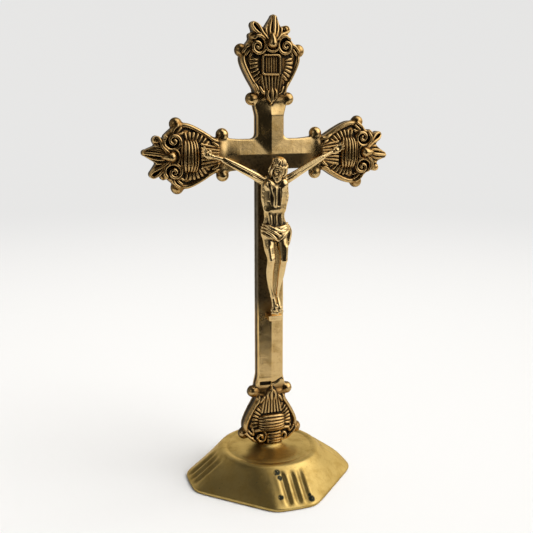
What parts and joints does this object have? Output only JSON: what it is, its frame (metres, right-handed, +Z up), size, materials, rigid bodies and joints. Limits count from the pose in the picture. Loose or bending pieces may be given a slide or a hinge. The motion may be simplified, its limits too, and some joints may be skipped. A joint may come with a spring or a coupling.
{
  "type": "altar cross",
  "caption": "Standing brass altar cross with leaf-shaped ends, ball ornaments and a cast figure, bolted to a hollow faceted foot with fluted corners.",
  "frame": {"origin": "middle of the foot's underside, on the surface that it stands on", "axes": "+Z up along the upright, +X along the crossbar to the right as seen from the front, the figure faces -Y"},
  "size_m": [0.129, 0.0886, 0.24],
  "materials": {
    "antique_brass": "aged, dark patina in the recesses",
    "figure_brass": "worn bright on the high points",
    "satin_brass": "satin with dark tarnish spots",
    "plain_steel": "plain turned steel",
    "felt": "felt-faced card"
  },
  "bodies": {
    "root": {"cross_front_shell": "antique_brass", "cross_back_shell": "antique_brass", "corpus": "figure_brass", "left_hand_nail": "figure_brass", "right_hand_nail": "figure_brass", "foot_nail": "figure_brass", "foot_rest": "figure_brass", "base_shell": "satin_brass", "base_card": "felt", "foot_lug": "antique_brass", "stud": "plain_steel", "washer": "plain_steel", "nut": "plain_steel"}
  },
  "joints": []
}
